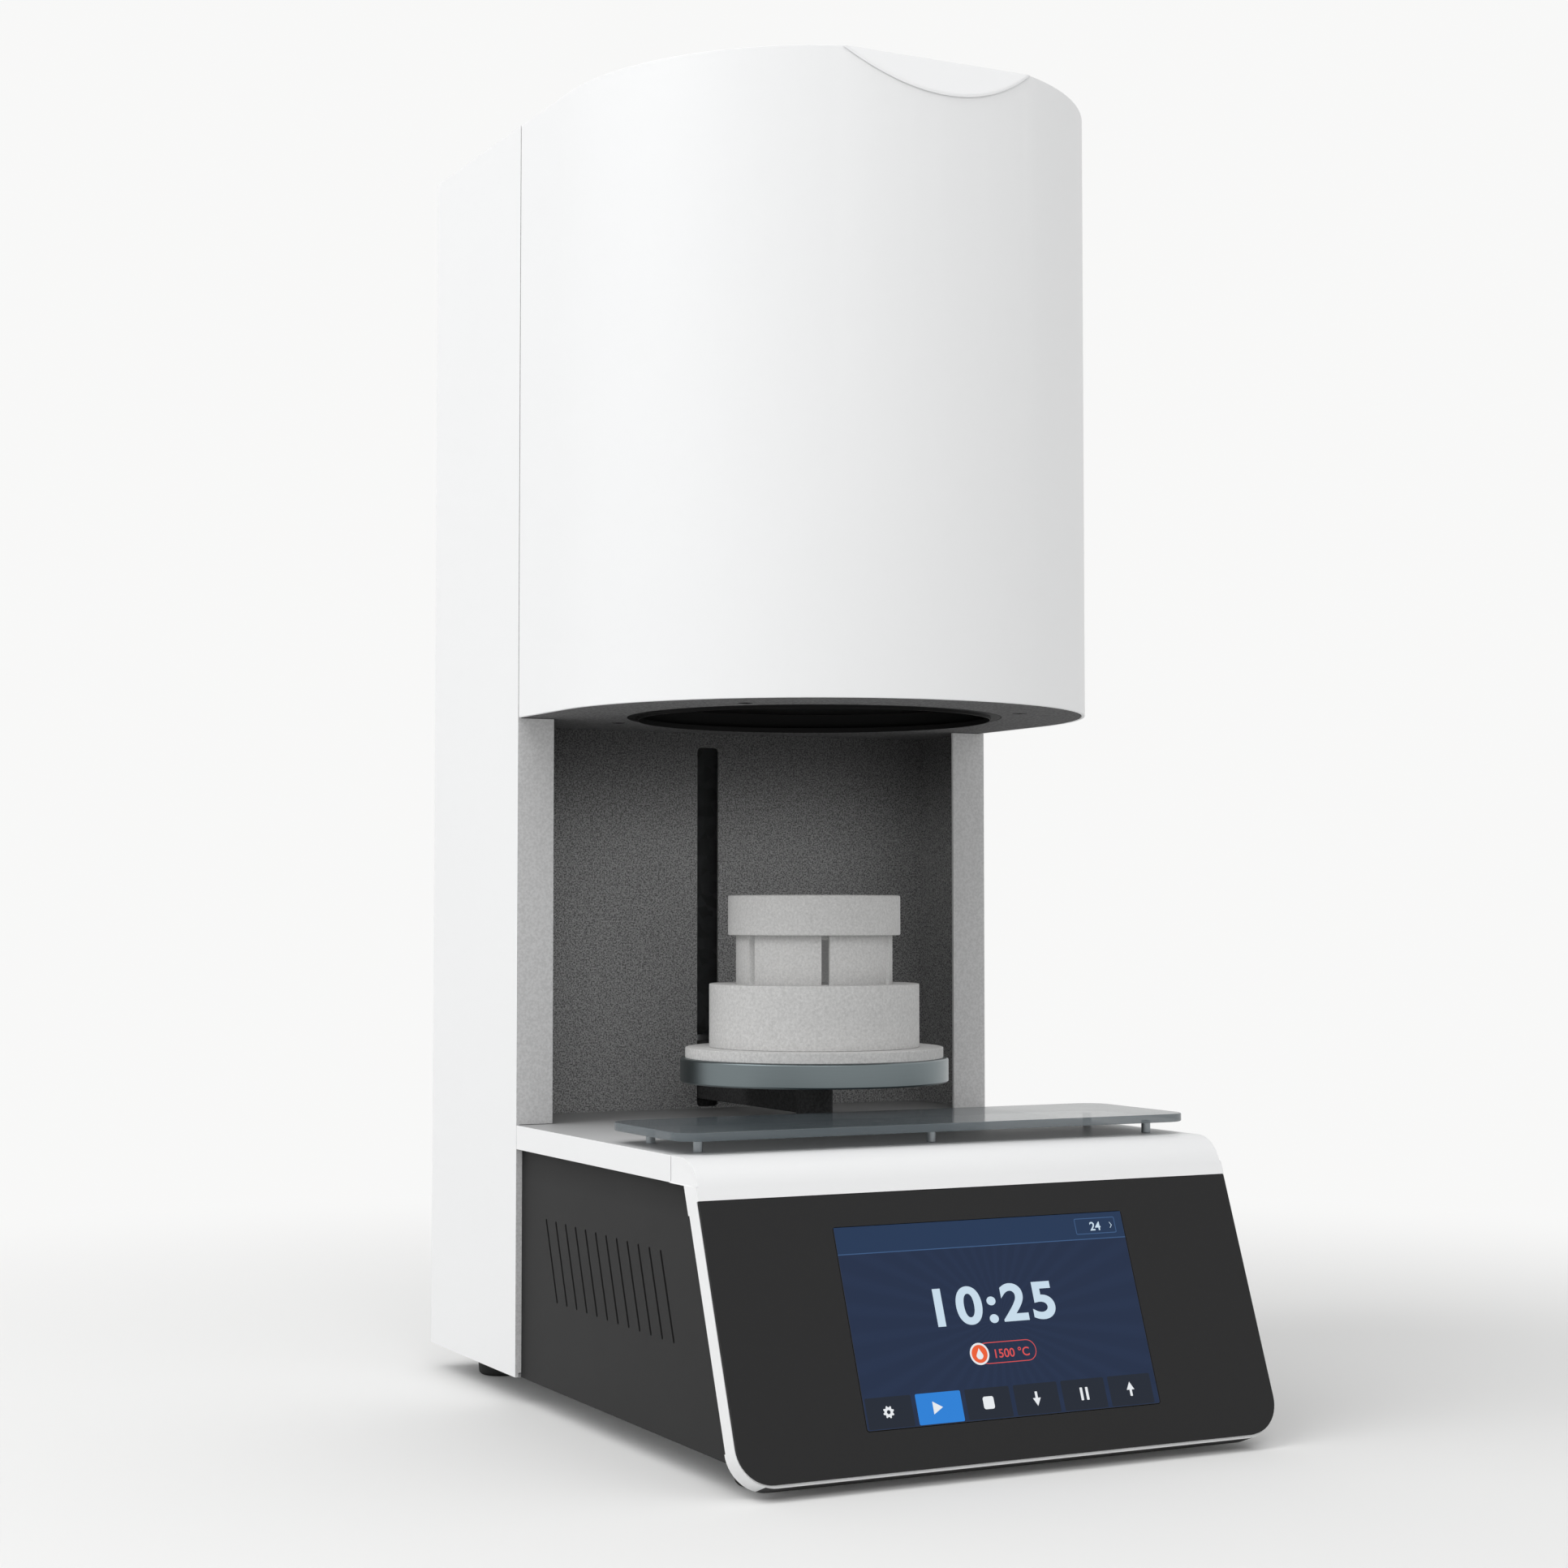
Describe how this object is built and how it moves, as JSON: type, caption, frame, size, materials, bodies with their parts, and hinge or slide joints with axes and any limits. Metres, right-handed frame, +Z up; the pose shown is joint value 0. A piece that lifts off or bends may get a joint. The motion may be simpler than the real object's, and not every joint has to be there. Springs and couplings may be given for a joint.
{
  "type": "dental sintering furnace",
  "caption": "White benchtop dental sintering furnace with a round head, an open loading bay, a lifting hearth with a covered crucible, a glass shelf and a sloping touch screen",
  "frame": {"origin": "middle of the bounding box on the floor plane that the feet stand on", "axes": "+X to the right of someone who faces the screen; +Y from the screen to the back; +Z up"},
  "size_m": [0.316, 0.4472, 0.742],
  "materials": {
    "white_paint": "smooth semi-gloss powder coat, near white",
    "grey_paint": "matt light grey powder coat",
    "dark_paint": "satin near-black paint",
    "blue_steel": "turned blue-grey metal",
    "steel": "plain machined steel",
    "bright_steel": "ground and polished",
    "dark_metal": "satin black",
    "fibre": "matt white fibre board",
    "alumina": "smooth matt alumina",
    "element": "grey-brown glassy silicide",
    "glass": "tempered, lightly tinted",
    "screen": "glossy display glass",
    "black_plastic": "fine matt grain",
    "rubber": "matt black",
    "brass": "machined",
    "aluminium": "bead blasted",
    "copper_coil": "varnished winding",
    "board": "solder mask green"
  },
  "bodies": {
    "frame": {"column_casing": "white_paint", "bay_liner": "grey_paint", "rear_panel": "white_paint", "rear_screws": "steel", "head_cover": "white_paint", "top_cap": "white_paint", "head_floor": "grey_paint", "floor_screws": "dark_metal", "mouth_collar": "dark_metal", "chamber_can": "steel", "chamber_wall": "fibre", "mouth_insulation": "fibre", "chamber_roof": "fibre", "heating_elements": "element", "element_clamps": "alumina", "element_straps": "aluminium", "thermocouple": "alumina", "thermocouple_head": "steel", "head_rails": "steel", "deck": "white_paint", "fascia_frame": "white_paint", "front_panel": "dark_paint", "touch_screen": "screen", "side_panel_left": "dark_paint", "side_panel_right": "dark_paint", "base_tray": "steel", "feet": "rubber", "shelf_glass": "glass", "shelf_posts": "bright_steel", "lift_frame": "steel", "guide_rods": "bright_steel", "screw_bearings": "steel", "lift_motor": "black_plastic", "motor_spacers": "steel", "transformer_core": "dark_metal", "transformer_coil": "copper_coil", "heat_sink": "aluminium", "power_relay": "black_plastic", "control_board": "board", "board_standoffs": "brass", "power_supply": "steel", "fan_frame": "black_plastic", "fan_guard": "bright_steel", "power_inlet": "black_plastic", "switch_housing": "black_plastic"},
    "lift": {"carriage": "aluminium", "carriage_nut": "brass", "linear_bearings": "bright_steel", "lift_arm": "dark_metal", "platform_plate": "blue_steel", "base_disc": "fibre", "plug": "fibre"},
    "screw": {"lead_screw": "steel", "motor_shaft": "bright_steel", "motor_coupling": "aluminium"},
    "fan": {"fan_rotor": "black_plastic"},
    "rocker": {"switch_rocker": "black_plastic"},
    "crucible": {"crucible": "alumina"},
    "lid": {"crucible_lid": "alumina"}
  },
  "joints": [
    {"name": "hearth_lift", "type": "slide", "parent": "frame", "child": "lift", "axis": [0, 0, 1], "range_m": [0, 0.2]},
    {"name": "screw_spin", "type": "hinge", "parent": "frame", "child": "screw", "pos_m": [0, 0.18287, 0.118], "axis": [0, 0, 1], "continuous": true},
    {"name": "fan_spin", "type": "hinge", "parent": "frame", "child": "fan", "pos_m": [0, 0.20607, 0.56], "axis": [0, 1, 0], "continuous": true},
    {"name": "power_rocker", "type": "hinge", "parent": "frame", "child": "rocker", "pos_m": [0.112, 0.21657, 0.108], "axis": [1, 0, 0], "range_deg": [-16, 0]},
    {"name": "crucible_lift", "type": "slide", "parent": "lift", "child": "crucible", "axis": [0, 0, 1], "range_m": [0, 0.06]},
    {"name": "lid_lift", "type": "slide", "parent": "crucible", "child": "lid", "axis": [0, 0, 1], "range_m": [0, 0.04]}
  ],
  "couplings": [
    {"joint": "screw_spin", "follows": "hearth_lift", "rad_per_m": 628.32}
  ]
}
